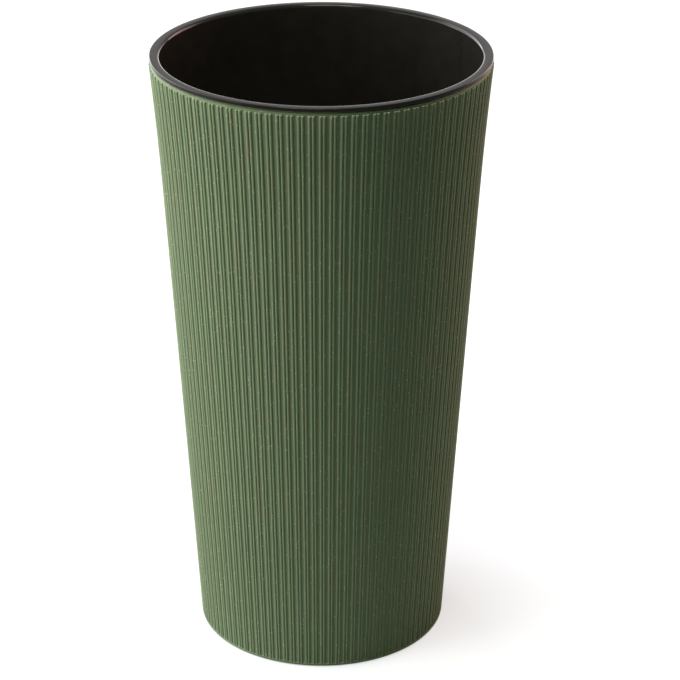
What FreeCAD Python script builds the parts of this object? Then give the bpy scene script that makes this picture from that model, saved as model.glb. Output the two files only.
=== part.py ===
import FreeCAD, Part
import math
import os

# Tall round planter: a ribbed outer pot, and a liner that hangs by its flange from the pot's rim.
# Millimetres, +Z up. The origin is at the centre of the base, on the floor.

# Outer pot
pot_height = 547.0
base_diameter = 225.8
rim_diameter = 297.1
flare_height = 77.0
flare_reach = 2.2
pot_wall = 2.7
pot_floor = 3.5
lip_height = 3.0
lip_setback = 0.15
neck_height = 1.0
neck_depth = 1.2
foot_width = 9.0
foot_height = 3.0

# Ribs, measured at the rim. They narrow with the wall towards the base.
rib_pairs = 104
ridge_width = 2.9
ridge_crest = 1.3
ridge_height = 1.3
groove_width = 0.3

# Liner
liner_depth = 280.0
liner_wall = 2.0
liner_floor = 2.0
liner_gap = 1.4
flange_thickness = 3.0
flange_overhang = 0.7
flange_chamfer = 0.8
drain_holes = 4
drain_hole_diameter = 8.0
drain_circle_diameter = 150.0

AXIS_POINT = FreeCAD.Vector(0, 0, 0)
UP = FreeCAD.Vector(0, 0, 1)
FRONT = math.radians(-90)

rim_radius = rim_diameter / 2
rib_top = pot_height - lip_height
flare_start = pot_height - flare_height
taper = (rim_radius - flare_reach - base_diameter / 2) / pot_height


def wall_radius(height):
    """Radius of the smooth outer wall: a straight taper that flares a little below the rim."""
    flare = flare_reach * max(0.0, height - flare_start) / flare_height
    return base_diameter / 2 + taper * height + flare


lip_radius = wall_radius(rib_top) - lip_setback


def point_round(radius, angle, height):
    """Point at a radius and an angle about the pot's axis."""
    return FreeCAD.Vector(radius * math.cos(angle), radius * math.sin(angle), height)


def wall_section(height):
    """Closed wire round the wall: in each pitch two ridges, the groove between them and a valley."""
    foot = wall_radius(height)
    crest = foot * (1 + ridge_height / rim_radius)
    flank = (ridge_width - ridge_crest) / 2
    near_foot = groove_width / 2
    far_foot = near_foot + ridge_width
    ridge = [(near_foot, foot), (near_foot + flank, crest), (far_foot - flank, crest), (far_foot, foot)]
    pair = [(-across, radius) for across, radius in reversed(ridge)] + ridge
    points = []
    for index in range(rib_pairs):
        centre = FRONT + index * 2 * math.pi / rib_pairs
        points += [point_round(radius, centre + across / rim_radius, height) for across, radius in pair]
    return Part.makePolygon(points + points[:1])


def outline(corners):
    """Open outline in the XZ plane through (radius, height, chamfer) corners."""
    points = [FreeCAD.Vector(radius, 0, height) for radius, height, chamfer in corners]
    path = points[:1]
    for before, corner, after, sizes in zip(points, points[1:], points[2:], corners[1:]):
        chamfer = sizes[2]
        if chamfer:
            path.append(corner + (before - corner).normalize() * chamfer)
            path.append(corner + (after - corner).normalize() * chamfer)
        else:
            path.append(corner)
    return Part.makePolygon(path + points[-1:])


def circle(radius, height):
    """Level circle about the pot's axis."""
    return Part.Wire(Part.makeCircle(radius, FreeCAD.Vector(0, 0, height), UP))


def flat_ring(outer, inner):
    """Flat face between two closed wires in one level plane, facing up."""
    return Part.makeFace([outer, inner], "Part::FaceMakerBullseye")


def outer_pot():
    """Ribbed wall, lip with a narrow neck on it, floor and foot ring, moulded as one hollow piece."""
    foot_section = wall_section(0)
    top_section = wall_section(rib_top)
    ribbed_wall = Part.makeLoft([foot_section, wall_section(flare_start), top_section], False, True)

    floor_top = foot_height + pot_floor
    shoulder = pot_height - neck_height
    neck_radius = lip_radius - neck_depth
    inside = [(lip_radius, rib_top, 0), (lip_radius, shoulder, 0)]
    inside += [(neck_radius, shoulder, 0), (neck_radius, pot_height, 0)]
    for height in (pot_height, flare_start):
        inside.append((wall_radius(height) - pot_wall, height, 0))
    inside += [(wall_radius(floor_top) - pot_wall, floor_top, 0), (0, floor_top, 0)]
    foot_inner = wall_radius(0) - foot_width
    recess = [(0, foot_height, 0), (foot_inner, foot_height, 0), (foot_inner, 0, 0)]

    faces = ribbed_wall.Faces
    faces += outline(inside).revolve(AXIS_POINT, UP, 360).Faces
    faces += outline(recess).revolve(AXIS_POINT, UP, 360).Faces
    faces.append(flat_ring(top_section, circle(lip_radius, rib_top)))
    faces.append(flat_ring(foot_section, circle(foot_inner, 0)).reversed())
    shell = Part.makeShell(faces)
    shell.sewShape()
    return Part.makeSolid(shell)


def liner():
    """Tapered insert with a flat flange that lies on the pot's rim, and drain holes in its floor."""
    flange_top = pot_height + flange_thickness
    floor_bottom = flange_top - liner_depth
    floor_top = floor_bottom + liner_floor
    flange_radius = lip_radius + flange_overhang
    chamfer = min(flange_chamfer, 0.45 * flange_thickness)

    def outer_radius(height):
        return base_diameter / 2 + taper * height - pot_wall - liner_gap

    def inner_radius(height):
        return outer_radius(height) - liner_wall

    body = [(0, floor_bottom, 0), (outer_radius(floor_bottom), floor_bottom, 0)]
    body += [(outer_radius(pot_height), pot_height, 0)]
    body += [(flange_radius, pot_height, chamfer), (flange_radius, flange_top, chamfer)]
    body += [(inner_radius(flange_top), flange_top, chamfer), (inner_radius(floor_top), floor_top, 0)]
    body += [(0, floor_top, 0), (0, floor_bottom, 0)]
    solid = Part.Face(outline(body)).revolve(AXIS_POINT, UP, 360)
    for index in range(drain_holes):
        angle = FRONT + index * 2 * math.pi / drain_holes
        place = point_round(drain_circle_diameter / 2, angle, floor_bottom)
        solid = solid.cut(Part.makeCylinder(drain_hole_diameter / 2, liner_floor, place, UP))
    return solid


os.makedirs("parts", exist_ok=True)
for name, shape in (("outer_pot", outer_pot()), ("liner", liner())):
    shape.exportStep("parts/" + name + ".step")
    print(name, "valid", shape.isValid(), "solids", len(shape.Solids), "volume", round(shape.Volume))
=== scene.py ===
import math

import bmesh
import bpy
from mathutils import Matrix, Vector


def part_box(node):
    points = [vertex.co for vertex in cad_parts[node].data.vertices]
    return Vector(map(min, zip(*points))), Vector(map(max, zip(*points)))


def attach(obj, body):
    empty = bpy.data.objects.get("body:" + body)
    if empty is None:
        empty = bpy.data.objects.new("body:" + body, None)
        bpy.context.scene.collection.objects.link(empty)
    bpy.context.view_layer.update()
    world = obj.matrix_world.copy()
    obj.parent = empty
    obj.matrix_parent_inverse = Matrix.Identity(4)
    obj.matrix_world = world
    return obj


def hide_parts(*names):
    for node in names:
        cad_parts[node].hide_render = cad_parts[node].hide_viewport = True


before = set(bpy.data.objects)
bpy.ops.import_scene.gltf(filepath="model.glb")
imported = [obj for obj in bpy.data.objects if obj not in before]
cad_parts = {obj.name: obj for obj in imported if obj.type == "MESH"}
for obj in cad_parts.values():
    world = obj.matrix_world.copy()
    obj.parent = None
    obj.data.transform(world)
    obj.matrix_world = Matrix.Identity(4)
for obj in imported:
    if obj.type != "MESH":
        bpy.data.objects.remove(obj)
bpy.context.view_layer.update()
bpy.context.scene.view_settings.view_transform = "Standard"

# Camera
# It stands a little over 2 m in front of the planter and well above its rim, and looks down on it
# through a long lens, so the mouth shows as a flat oval and the wall's taper looks stronger than it is.
camera_place = Vector((-0.0112, -2.0769, 1.2239))
camera_lens = 132.87
camera_pan = math.radians(0.768)
camera_tilt = math.radians(24.525)
camera_roll = math.radians(0.112)

bpy.ops.object.camera_add(location=camera_place)
camera = bpy.context.object
aim = Matrix.Rotation(-camera_pan, 3, "Z") @ Matrix.Rotation(math.pi / 2 - camera_tilt, 3, "X")
camera.rotation_euler = (aim @ Matrix.Rotation(camera_roll, 3, "Z")).to_euler()
camera.data.lens = camera_lens
bpy.context.scene.camera = camera

# Outer pot
# A tall tapered planter, moulded in one piece from green plastic with wood fibre in it. Narrow round ridges
# stand in pairs all round its wall, between a plain ring at the base and a smooth lip at the top. A neck on
# the lip carries the liner, and the pot rests on a foot ring under its floor.
pot_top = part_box("outer_pot")[1].z
base_radius = 0.1129
rim_radius = 0.14855
wall_taper = 0.061152
flare_start = 0.430
flare_reach = 0.0022
pot_wall = 0.0027
pot_floor = 0.0065
pot_floor_fillet = 0.004

# The ridges' places across one pitch are shares of it, from the middle of a pair
rib_pairs = 104
rib_pitch = 2 * math.pi / rib_pairs
ridge_centre = 0.178
ridge_half_width = 0.162
ridge_steps = 8
ridge_height = 0.0013
ridge_rise = ridge_height / rim_radius
rib_start = 0.0042
rib_end = 0.0011

lip_radius = 0.1483
lip_height = 0.0035
lip_edge = 0.0008
neck_radius = 0.14693
neck_height = 0.0011
rib_top = pot_top - lip_height
shoulder = pot_top - neck_height
ring_top = 0.0030
base_edge = 0.0025
foot_inner = 0.1039
foot_edge = 0.0008
recess_top = 0.003

straight_rings = (0.11, 0.22, 0.33)
flare_middle = 0.505
flare_rings = (0.455, 0.48, flare_middle, 0.525)
smooth_angle = math.radians(40)
same_place = 0.000002


def start_outline(name, first):
    """Starts a mesh of that name in edit mode, as one vertex at the first point of an outline."""
    bpy.ops.object.select_all(action="DESELECT")
    bpy.ops.mesh.primitive_plane_add(size=0.001)
    piece = bpy.context.object
    piece.name = name
    piece.data.name = name
    bpy.ops.object.mode_set(mode="EDIT")
    bpy.ops.mesh.merge(type="CENTER")
    bpy.ops.transform.translate(value=first)
    return piece


def extrude_along(points):
    """Extrudes the selected vertex from each point of an outline to the next."""
    for before, after in zip(points, points[1:]):
        bpy.ops.mesh.extrude_region_move(TRANSFORM_OT_translate={"value": after - before})


def close_round():
    """Merges the seams and poles of a mesh turned about the axis, points its faces out and smooths it."""
    bpy.ops.mesh.select_all(action="SELECT")
    bpy.ops.mesh.remove_doubles(threshold=same_place)
    bpy.ops.mesh.normals_make_consistent(inside=False)
    bpy.ops.object.mode_set(mode="OBJECT")
    bpy.ops.object.shade_smooth_by_angle(angle=smooth_angle)


def wall_radius(height):
    """Radius of the wall between the ribs: a straight taper that flares a little below the rim."""
    flare = max(0.0, height - flare_start) / (pot_top - flare_start)
    return base_radius + wall_taper * height + flare_reach * flare ** 2


def rib_columns():
    """Where vertices stand across one pitch, as (share of the pitch, share of a ridge's height) pairs."""
    turns = [math.pi * step / ridge_steps for step in range(ridge_steps + 1)]
    ridge = [(ridge_centre - ridge_half_width * math.cos(turn), math.sin(turn)) for turn in turns]
    half = ridge + [(0.5, 0.0)]
    return [(-share, rise) for share, rise in reversed(half)] + [(0.0, 0.0)] + half


columns = rib_columns()


def column_point(share, rise, radius, height):
    """Point of the strip at a share of the pitch, with the middle of the pair on the front of the pot."""
    out = radius * (1 + ridge_rise * rise)
    return Vector((out * math.sin(share * rib_pitch), -out * math.cos(share * rib_pitch), height))


def pull_ring(height, radius, rib_share=1.0):
    """Extrudes the strip's last edge to a height, then scales each column out or in to the radius there."""
    bpy.ops.mesh.extrude_region_move()
    strip = bmesh.from_edit_mesh(bpy.context.object.data)
    ring = [vertex for vertex in strip.verts if vertex.select]
    climb = height - ring[0].co.z
    bpy.ops.transform.translate(value=(0, 0, climb))
    ring.sort(key=lambda vertex: math.atan2(vertex.co.x, -vertex.co.y))
    for rise in sorted({rise for share, rise in columns}):
        bpy.ops.mesh.select_all(action="DESELECT")
        for vertex, column in zip(ring, columns):
            vertex.select_set(column[1] == rise)
        chosen = [vertex for vertex in ring if vertex.select]
        size = radius * (1 + ridge_rise * rise * rib_share) / chosen[0].co.xy.length
        bpy.ops.transform.resize(value=(size, size, 1), center_override=(0, 0, height))
    bpy.ops.mesh.select_all(action="DESELECT")
    for vertex in ring:
        vertex.select_set(True)
    strip.select_flush(True)


def rounding(steps):
    """Steps along a quarter round, as shares: how far along each one is, and how far it has turned in."""
    turns = [math.pi / 2 * step / steps for step in range(1, steps + 1)]
    return [(math.sin(turn), 1 - math.cos(turn)) for turn in turns]


# One pitch is modelled as a strip, which starts as a level edge at the foot of the ribs
first_ring = [column_point(share, rise, wall_radius(rib_start), rib_start) for share, rise in columns]
pot = start_outline("outer_pot_shell", first_ring[0])
extrude_along(first_ring)
bpy.ops.mesh.select_all(action="SELECT")

# The wall, up to the rounded ends of the ribs
for height in (*straight_rings, flare_start, *flare_rings, rib_top - rib_end):
    pull_ring(height, wall_radius(height))
for run, drop in rounding(5):
    height = rib_top - rib_end + rib_end * run
    pull_ring(height, wall_radius(height) * (1 - drop) + lip_radius * drop, 1 - drop)

# The lip with its rounded shoulder, the neck under the liner's flange, and the inside down to the floor
pull_ring(shoulder - lip_edge, lip_radius, 0)
for run, drop in rounding(4):
    pull_ring(shoulder - lip_edge + lip_edge * run, lip_radius - lip_edge * drop, 0)
pull_ring(shoulder, neck_radius, 0)
pull_ring(pot_top, neck_radius, 0)
pull_ring(pot_top, wall_radius(pot_top) - pot_wall, 0)
for height in (flare_middle, flare_start):
    pull_ring(height, wall_radius(height) - pot_wall, 0)
fillet_start = pot_floor + pot_floor_fillet
for run, drop in [(0, 0)] + rounding(4):
    inside = wall_radius(fillet_start) - pot_wall - pot_floor_fillet * drop
    pull_ring(fillet_start - pot_floor_fillet * run, inside, 0)
pull_ring(pot_floor, 0, 0)

# The plain ring under the ribs, the rounded foot and the shallow recess under the floor
bpy.ops.mesh.select_all(action="DESELECT")
strip = bmesh.from_edit_mesh(pot.data)
for vertex in strip.verts:
    vertex.select_set(abs(vertex.co.z - rib_start) < same_place and vertex.co.xy.length > foot_inner)
strip.select_flush(True)
for run, drop in rounding(3):
    height = rib_start - (rib_start - ring_top) * run
    pull_ring(height, wall_radius(height) * (1 + ridge_rise * drop), 1 - drop)
ring_radius = wall_radius(base_edge) * (1 + ridge_rise)
for run, drop in [(0, 0)] + rounding(4):
    pull_ring(base_edge * (1 - run), ring_radius - base_edge * drop, 0)
pull_ring(0, foot_inner + foot_edge, 0)
for run, drop in rounding(3):
    pull_ring(foot_edge * drop, foot_inner + foot_edge * (1 - run), 0)
pull_ring(recess_top, foot_inner, 0)
pull_ring(recess_top, 0, 0)

# Copies of the strip stand side by side all round the axis
bpy.ops.mesh.select_all(action="SELECT")
last_turn = 2 * math.pi - rib_pitch
bpy.ops.mesh.spin(steps=rib_pairs - 1, dupli=True, angle=last_turn, center=(0, 0, 0), axis=(0, 0, 1))
close_round()

pot_green = (0.122, 0.174, 0.100, 1)
fibre_olive = (0.158, 0.156, 0.094, 1)
fibre_brown = (0.178, 0.142, 0.084, 1)
fibre_pale = (0.36, 0.37, 0.26, 1)
streak_change = 0.04


def node_tools(tree):
    """Clears a node tree, and gives the two functions that add and link its nodes."""
    tree.nodes.clear()

    def add(kind, values=(), **settings):
        node = tree.nodes.new(kind)
        for setting, value in settings.items():
            setattr(node, setting, value)
        for socket, value in dict(values).items():
            node.inputs[socket].default_value = value
        return node

    return add, tree.links.new


def new_material(name):
    """An empty node material, and the two functions that add and link its nodes."""
    material = bpy.data.materials.new(name)
    material.use_nodes = True
    return (material, *node_tools(material.node_tree))


def fibre_plastic():
    """Matt green plastic with streaks along the moulding's flow, and brown and pale specks of wood fibre."""
    material, add, link = new_material("fibre_plastic")
    output = add("ShaderNodeOutputMaterial")
    shader = add("ShaderNodeBsdfPrincipled", {"Specular IOR Level": 0.05, "Sheen Weight": 0.25})
    shader.inputs["Sheen Roughness"].default_value = 0.3
    shader.inputs["Sheen Tint"].default_value = (1.0, 0.95, 0.85, 1)
    place = add("ShaderNodeTexCoord")
    along = add("ShaderNodeMapping", {"Scale": (1, 1, 0.05)})
    link(place.outputs["Object"], along.inputs["Vector"])

    streaks = add("ShaderNodeTexNoise", {"Scale": 260, "Detail": 4, "Roughness": 0.6})
    link(along.outputs["Vector"], streaks.inputs["Vector"])
    streak_tone = add("ShaderNodeValToRGB")
    dark_streak, pale_streak = streak_tone.color_ramp.elements
    dark_streak.position = 0.35
    dark_streak.color = [(1 - streak_change) * part for part in pot_green[:3]] + [1]
    pale_streak.position = 0.65
    pale_streak.color = [(1 + streak_change) * part for part in pot_green[:3]] + [1]
    link(streaks.outputs["Fac"], streak_tone.inputs["Fac"])

    patches = add("ShaderNodeTexNoise", {"Scale": 300, "Detail": 3, "Roughness": 0.55})
    link(along.outputs["Vector"], patches.inputs["Vector"])
    patch_share = add("ShaderNodeMapRange", {"From Min": 0.52, "From Max": 0.70, "To Max": 0.6})
    link(patches.outputs["Fac"], patch_share.inputs["Value"])
    ground = add("ShaderNodeMix", data_type="RGBA")
    ground.inputs["B"].default_value = fibre_olive
    link(patch_share.outputs["Result"], ground.inputs["Factor"])
    link(streak_tone.outputs["Color"], ground.inputs["A"])

    def specks(below, colour, stretch, scale, share, size):
        """Lays specks of one colour over what is below: a share of the cells of a pattern holds one each."""
        lie = add("ShaderNodeMapping", {"Scale": (1, 1, 1 / stretch)})
        link(place.outputs["Object"], lie.inputs["Vector"])
        cells = add("ShaderNodeTexVoronoi", {"Scale": scale})
        link(lie.outputs["Vector"], cells.inputs["Vector"])
        spot = add("ShaderNodeMapRange", {"From Min": size, "From Max": 0.5 * size})
        link(cells.outputs["Distance"], spot.inputs["Value"])
        parts = add("ShaderNodeSeparateColor")
        link(cells.outputs["Color"], parts.inputs["Color"])
        chosen = add("ShaderNodeMath", {1: share}, operation="LESS_THAN")
        link(parts.outputs["Red"], chosen.inputs[0])
        cover = add("ShaderNodeMath", operation="MULTIPLY")
        link(spot.outputs["Result"], cover.inputs[0])
        link(chosen.outputs["Value"], cover.inputs[1])
        mix = add("ShaderNodeMix", data_type="RGBA")
        mix.inputs["B"].default_value = colour
        link(cover.outputs["Value"], mix.inputs["Factor"])
        link(below, mix.inputs["A"])
        return mix.outputs["Result"]

    flecked = specks(ground.outputs["Result"], fibre_brown, stretch=2.5, scale=420, share=0.06, size=0.34)
    flecked = specks(flecked, fibre_pale, stretch=1.3, scale=560, share=0.10, size=0.35)
    link(flecked, shader.inputs["Base Color"])

    grain = add("ShaderNodeTexNoise", {"Scale": 1400, "Detail": 3})
    link(place.outputs["Object"], grain.inputs["Vector"])
    matt = add("ShaderNodeMapRange", {"To Min": 0.52, "To Max": 0.68})
    link(grain.outputs["Fac"], matt.inputs["Value"])
    link(matt.outputs["Result"], shader.inputs["Roughness"])
    bump = add("ShaderNodeBump", {"Strength": 0.25, "Distance": 0.0003})
    link(grain.outputs["Fac"], bump.inputs["Height"])
    link(bump.outputs["Normal"], shader.inputs["Normal"])
    link(shader.outputs["BSDF"], output.inputs["Surface"])
    return material


pot.data.materials.append(fibre_plastic())
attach(pot, "outer_pot")
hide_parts("outer_pot")

# Liner
# A black insert moulded from satin plastic. It hangs in the pot by a flat flange that lies on the pot's neck,
# and it lifts straight out. Its edges are rounded, and its floor has drain holes.
liner_low, liner_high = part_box("liner")
flange_radius = liner_high.x
flange_bottom = pot_top
flange_top = liner_high.z
flange_edge = 0.0006
mouth_radius = 0.1398
mouth_edge = 0.0028
liner_outer_top = 0.14225
liner_outer_low = 0.12528
liner_wall = 0.002
liner_floor = 0.002
liner_outer_edge = 0.004
liner_floor_fillet = 0.005
edge_steps = 5
liner_turns = 192
drain_holes = 4
drain_hole_radius = 0.004
drain_circle_radius = 0.075
drill_length = 0.02
drill_sides = 48


def liner_outline():
    """Half section of the liner as (radius, height, rounding) corners, from the axis under its floor."""
    floor_top = liner_low.z + liner_floor
    return [
        (0, liner_low.z, 0),
        (liner_outer_low, liner_low.z, liner_outer_edge),
        (liner_outer_top, flange_bottom, flange_edge),
        (flange_radius, flange_bottom, flange_edge),
        (flange_radius, flange_top, flange_edge),
        (mouth_radius, flange_top, mouth_edge),
        (liner_outer_low - liner_wall, floor_top, liner_floor_fillet),
        (0, floor_top, 0),
    ]


corners = [Vector((radius, 0, height)) for radius, height, edge in liner_outline()]
liner = start_outline("liner_insert", corners[0])
extrude_along(corners)
for radius, height, edge in liner_outline():
    if edge:
        bpy.ops.mesh.select_all(action="DESELECT")
        section = bmesh.from_edit_mesh(liner.data)
        for vertex in section.verts:
            vertex.select_set((vertex.co - Vector((radius, 0, height))).length < same_place)
        bpy.ops.mesh.bevel(offset=edge, segments=edge_steps, affect="VERTICES")
bpy.ops.mesh.select_all(action="SELECT")
bpy.ops.mesh.spin(steps=liner_turns, angle=2 * math.pi, center=(0, 0, 0), axis=(0, 0, 1))
close_round()

for index in range(drain_holes):
    turn = 2 * math.pi * index / drain_holes
    place = (drain_circle_radius * math.sin(turn), -drain_circle_radius * math.cos(turn), liner_low.z)
    bpy.ops.object.select_all(action="DESELECT")
    bpy.ops.mesh.primitive_cylinder_add(
        vertices=drill_sides, radius=drain_hole_radius, depth=drill_length, location=place)
    drill = bpy.context.object
    bpy.ops.object.select_all(action="DESELECT")
    bpy.context.view_layer.objects.active = liner
    liner.select_set(True)
    cut = liner.modifiers.new("drain_hole", "BOOLEAN")
    cut.operation = "DIFFERENCE"
    cut.object = drill
    bpy.ops.object.modifier_apply(modifier=cut.name)
    bpy.data.objects.remove(drill)
bpy.ops.object.shade_smooth_by_angle(angle=smooth_angle)

deep_black = (0.0073, 0.0072, 0.0058, 1)
soft_black = (0.0103, 0.0100, 0.0082, 1)


def satin_plastic():
    """Black satin plastic, a little cloudy, with a fine moulded grain."""
    material, add, link = new_material("satin_plastic")
    output = add("ShaderNodeOutputMaterial")
    shader = add("ShaderNodeBsdfPrincipled", {"IOR": 1.16})
    place = add("ShaderNodeTexCoord")
    cloud = add("ShaderNodeTexNoise", {"Scale": 60, "Detail": 5, "Roughness": 0.6})
    link(place.outputs["Object"], cloud.inputs["Vector"])
    tone = add("ShaderNodeValToRGB")
    deep, soft = tone.color_ramp.elements
    deep.position = 0.3
    deep.color = deep_black
    soft.position = 0.7
    soft.color = soft_black
    link(cloud.outputs["Fac"], tone.inputs["Fac"])
    link(tone.outputs["Color"], shader.inputs["Base Color"])
    gloss = add("ShaderNodeMapRange", {"To Min": 0.10, "To Max": 0.14})
    link(cloud.outputs["Fac"], gloss.inputs["Value"])
    link(gloss.outputs["Result"], shader.inputs["Roughness"])
    grain = add("ShaderNodeTexNoise", {"Scale": 2200, "Detail": 2})
    link(place.outputs["Object"], grain.inputs["Vector"])
    bump = add("ShaderNodeBump", {"Strength": 0.06, "Distance": 0.0001})
    link(grain.outputs["Fac"], bump.inputs["Height"])
    link(bump.outputs["Normal"], shader.inputs["Normal"])
    link(shader.outputs["BSDF"], output.inputs["Surface"])
    return material


liner.data.materials.append(satin_plastic())
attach(liner, "liner")
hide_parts("liner")

# Floor
# A wide sheet of plain paper. Where it is seen, also in reflections, it glows a little and shows as white
# in the lamps' light, with the planter's soft shadow on it. The light that it throws back up is grey.
floor_size = 14.0
paper_grey = (0.265, 0.31, 0.285, 1)
shown_glow = 0.60
shown_shade = (0.245, 0.285, 0.295, 1)


def shown_directly(add, link):
    """1 for rays from the camera, in a reflection or through glass, and 0 for all other rays."""
    path = add("ShaderNodeLightPath")
    either = add("ShaderNodeMath", operation="MAXIMUM")
    link(path.outputs["Is Camera Ray"], either.inputs[0])
    link(path.outputs["Is Glossy Ray"], either.inputs[1])
    any_of = add("ShaderNodeMath", operation="MAXIMUM")
    link(either.outputs["Value"], any_of.inputs[0])
    link(path.outputs["Is Transmission Ray"], any_of.inputs[1])
    return any_of.outputs["Value"]


def white_paper():
    """Paper that shows as white where it is lit, and a little darker in a shadow."""
    material, add, link = new_material("white_paper")
    output = add("ShaderNodeOutputMaterial")
    plain = add("ShaderNodeBsdfDiffuse", {"Color": paper_grey})
    shade = add("ShaderNodeBsdfDiffuse", {"Color": shown_shade})
    glow = add("ShaderNodeEmission", {"Strength": shown_glow})
    shown = add("ShaderNodeAddShader")
    link(shade.outputs["BSDF"], shown.inputs[0])
    link(glow.outputs["Emission"], shown.inputs[1])
    choice = add("ShaderNodeMixShader")
    link(shown_directly(add, link), choice.inputs["Fac"])
    link(plain.outputs["BSDF"], choice.inputs[1])
    link(shown.outputs["Shader"], choice.inputs[2])
    link(choice.outputs["Shader"], output.inputs["Surface"])
    return material


bpy.ops.object.select_all(action="DESELECT")
bpy.ops.mesh.primitive_plane_add(size=floor_size)
floor = bpy.context.object
floor.name = "paper_floor"
floor.data.materials.append(white_paper())

# Light
# Two large soft boxes stand at the left and the back left of the planter, and a warm one at the back right.
# A small lamp hangs above the front, and a long, low one behind the planter draws the rim's bright edge.
# The room is white where it is seen, and gives no light of its own.
world = bpy.data.worlds.new("pale_room")
bpy.context.scene.world = world
world.use_nodes = True
add_room, link_room = node_tools(world.node_tree)
room_output = add_room("ShaderNodeOutputWorld")
white = add_room("ShaderNodeBackground", {"Color": (1, 1, 1, 1)})
link_room(shown_directly(add_room, link_room), white.inputs["Strength"])
link_room(white.outputs["Background"], room_output.inputs["Surface"])


def soft_box(name, place, target, width, height, power, colour):
    """A rectangular lamp that faces the target."""
    bpy.ops.object.light_add(type="AREA", location=place)
    lamp = bpy.context.object
    lamp.name = name
    lamp.data.shape = "RECTANGLE"
    lamp.data.size = width
    lamp.data.size_y = height
    lamp.data.energy = power
    lamp.data.color = colour
    lamp.rotation_euler = (Vector(target) - Vector(place)).to_track_quat("-Z", "Y").to_euler()


soft_box("key_box", place=(-2.00, -0.14, 0.78), target=(0, 0, 0.3),
         width=2.6, height=1.5, power=87.5, colour=(1.0, 0.93, 0.885))
soft_box("back_right_box", place=(1.66, 1.12, 1.0), target=(0, 0, 0.35),
         width=1.3, height=1.5, power=66, colour=(1.0, 0.635, 0.56))
soft_box("back_left_box", place=(-1.49, 1.34, 1.2), target=(0, 0, 0.45),
         width=2.3, height=2.1, power=108, colour=(0.98, 0.92, 0.98))
soft_box("top_box", place=(-0.2, -0.38, 2.6), target=(-0.2, -0.38, 0.3),
         width=0.8, height=0.4, power=80, colour=(1.0, 0.94, 0.88))
soft_box("backdrop_box", place=(0.0, 3.0, 0.80), target=(0, 0, 0.55),
         width=4.0, height=0.5, power=18, colour=(1.0, 0.98, 0.94))
